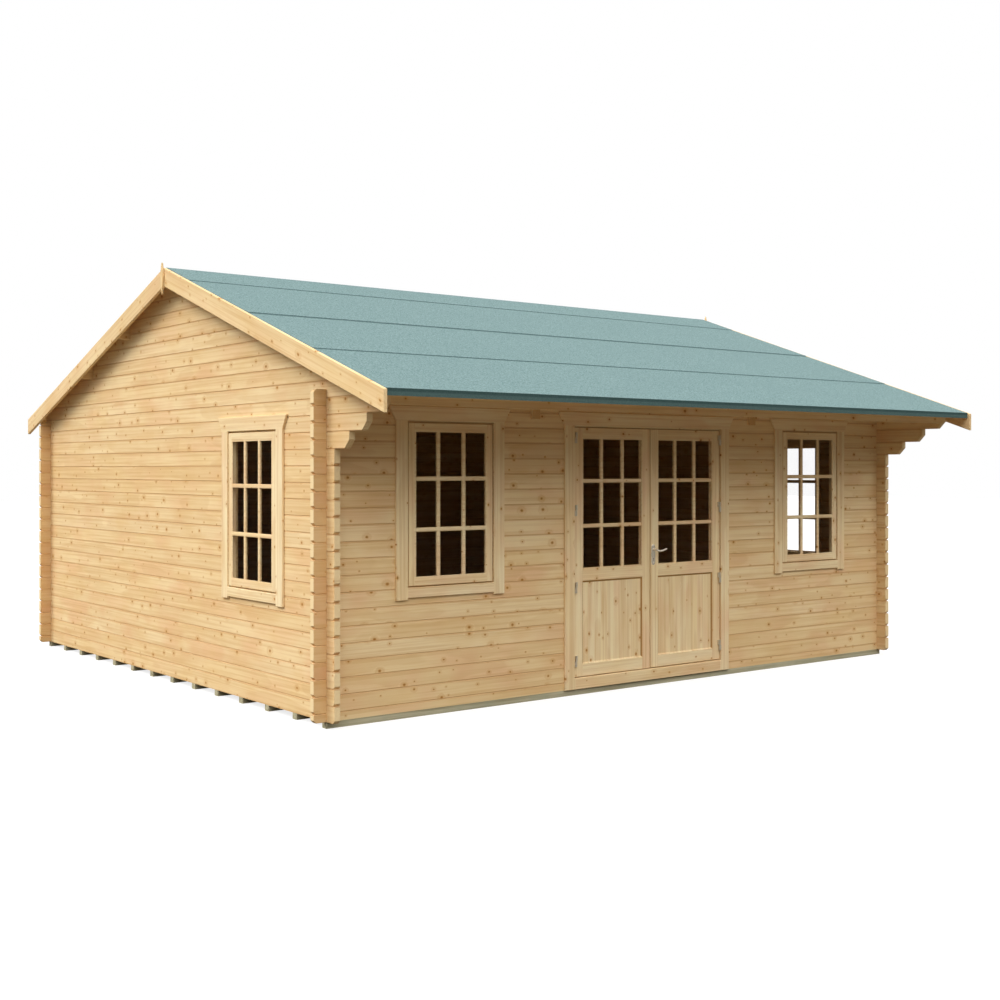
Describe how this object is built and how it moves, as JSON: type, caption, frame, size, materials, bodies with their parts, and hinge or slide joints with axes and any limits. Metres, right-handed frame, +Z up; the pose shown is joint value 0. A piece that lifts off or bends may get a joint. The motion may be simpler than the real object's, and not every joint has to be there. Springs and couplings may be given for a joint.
{
  "type": "log cabin",
  "caption": "Pine log cabin with a canopied felt roof, glazed double doors and small-paned windows.",
  "frame": {"origin": "on the ground, straight under the middle of the ridge", "axes": "+X to the right along the front, +Y towards the back, +Z up; the doors face -Y"},
  "size_m": [6.252, 6.494, 3.388],
  "materials": {
    "wall_timber": "planed bare pine",
    "trim_timber": "smooth planed pine",
    "treated_timber": "pressure treated, sawn",
    "roofing_felt": "mineral felt",
    "window_glass": "clear",
    "hinge_metal": "zinc plated",
    "handle_metal": "satin"
  },
  "bodies": {
    "cabin": {"floor_bearers": "treated_timber", "floor_boards": "wall_timber", "front_wall_left": "wall_timber", "front_wall_right": "wall_timber", "front_wall_over_door": "wall_timber", "back_wall": "wall_timber", "left_gable_wall": "wall_timber", "right_gable_wall": "wall_timber", "front_log_ends": "wall_timber", "back_log_ends": "wall_timber", "ridge_purlin": "wall_timber", "roof_purlins": "wall_timber", "canopy_beam": "wall_timber", "tie_beams": "wall_timber", "roof_boards_front": "wall_timber", "roof_boards_back": "wall_timber", "roof_felt_front": "roofing_felt", "roof_felt_back": "roofing_felt", "ridge_felt": "roofing_felt", "eaves_battens": "wall_timber", "front_bargeboards": "trim_timber", "back_bargeboards": "trim_timber", "finials": "trim_timber", "window_frames": "trim_timber", "front_left_window": "trim_timber", "front_right_window": "trim_timber", "left_side_window": "trim_timber", "right_side_window": "trim_timber", "window_glass": "window_glass", "front_left_window_trim": "trim_timber", "front_right_window_trim": "trim_timber", "left_side_window_trim": "trim_timber", "right_side_window_trim": "trim_timber", "door_frame": "trim_timber", "door_sill": "trim_timber", "door_trim": "trim_timber", "jamb_hinges": "hinge_metal"},
    "left_leaf": {"left_door": "trim_timber", "left_door_glass": "window_glass", "left_door_hinges": "hinge_metal"},
    "right_leaf": {"right_door": "trim_timber", "right_door_glass": "window_glass", "right_door_hinges": "hinge_metal", "door_handle_plate": "handle_metal"},
    "lever": {"door_lever": "handle_metal"}
  },
  "joints": [
    {"name": "left_door_hinge", "type": "hinge", "parent": "cabin", "child": "left_leaf", "pos_m": [-0.795, -2.371, 1.1], "axis": [0, 0, -1], "range_deg": [0, 100]},
    {"name": "right_door_hinge", "type": "hinge", "parent": "cabin", "child": "right_leaf", "pos_m": [0.795, -2.371, 1.1], "axis": [0, 0, 1], "range_deg": [0, 100]},
    {"name": "door_lever_turn", "type": "hinge", "parent": "right_leaf", "child": "lever", "pos_m": [0.0355, -2.385, 1.087], "axis": [0, 1, 0], "range_deg": [0, 40], "stiffness_Nm_per_rad": 0.5, "springref_deg": -17.19}
  ]
}
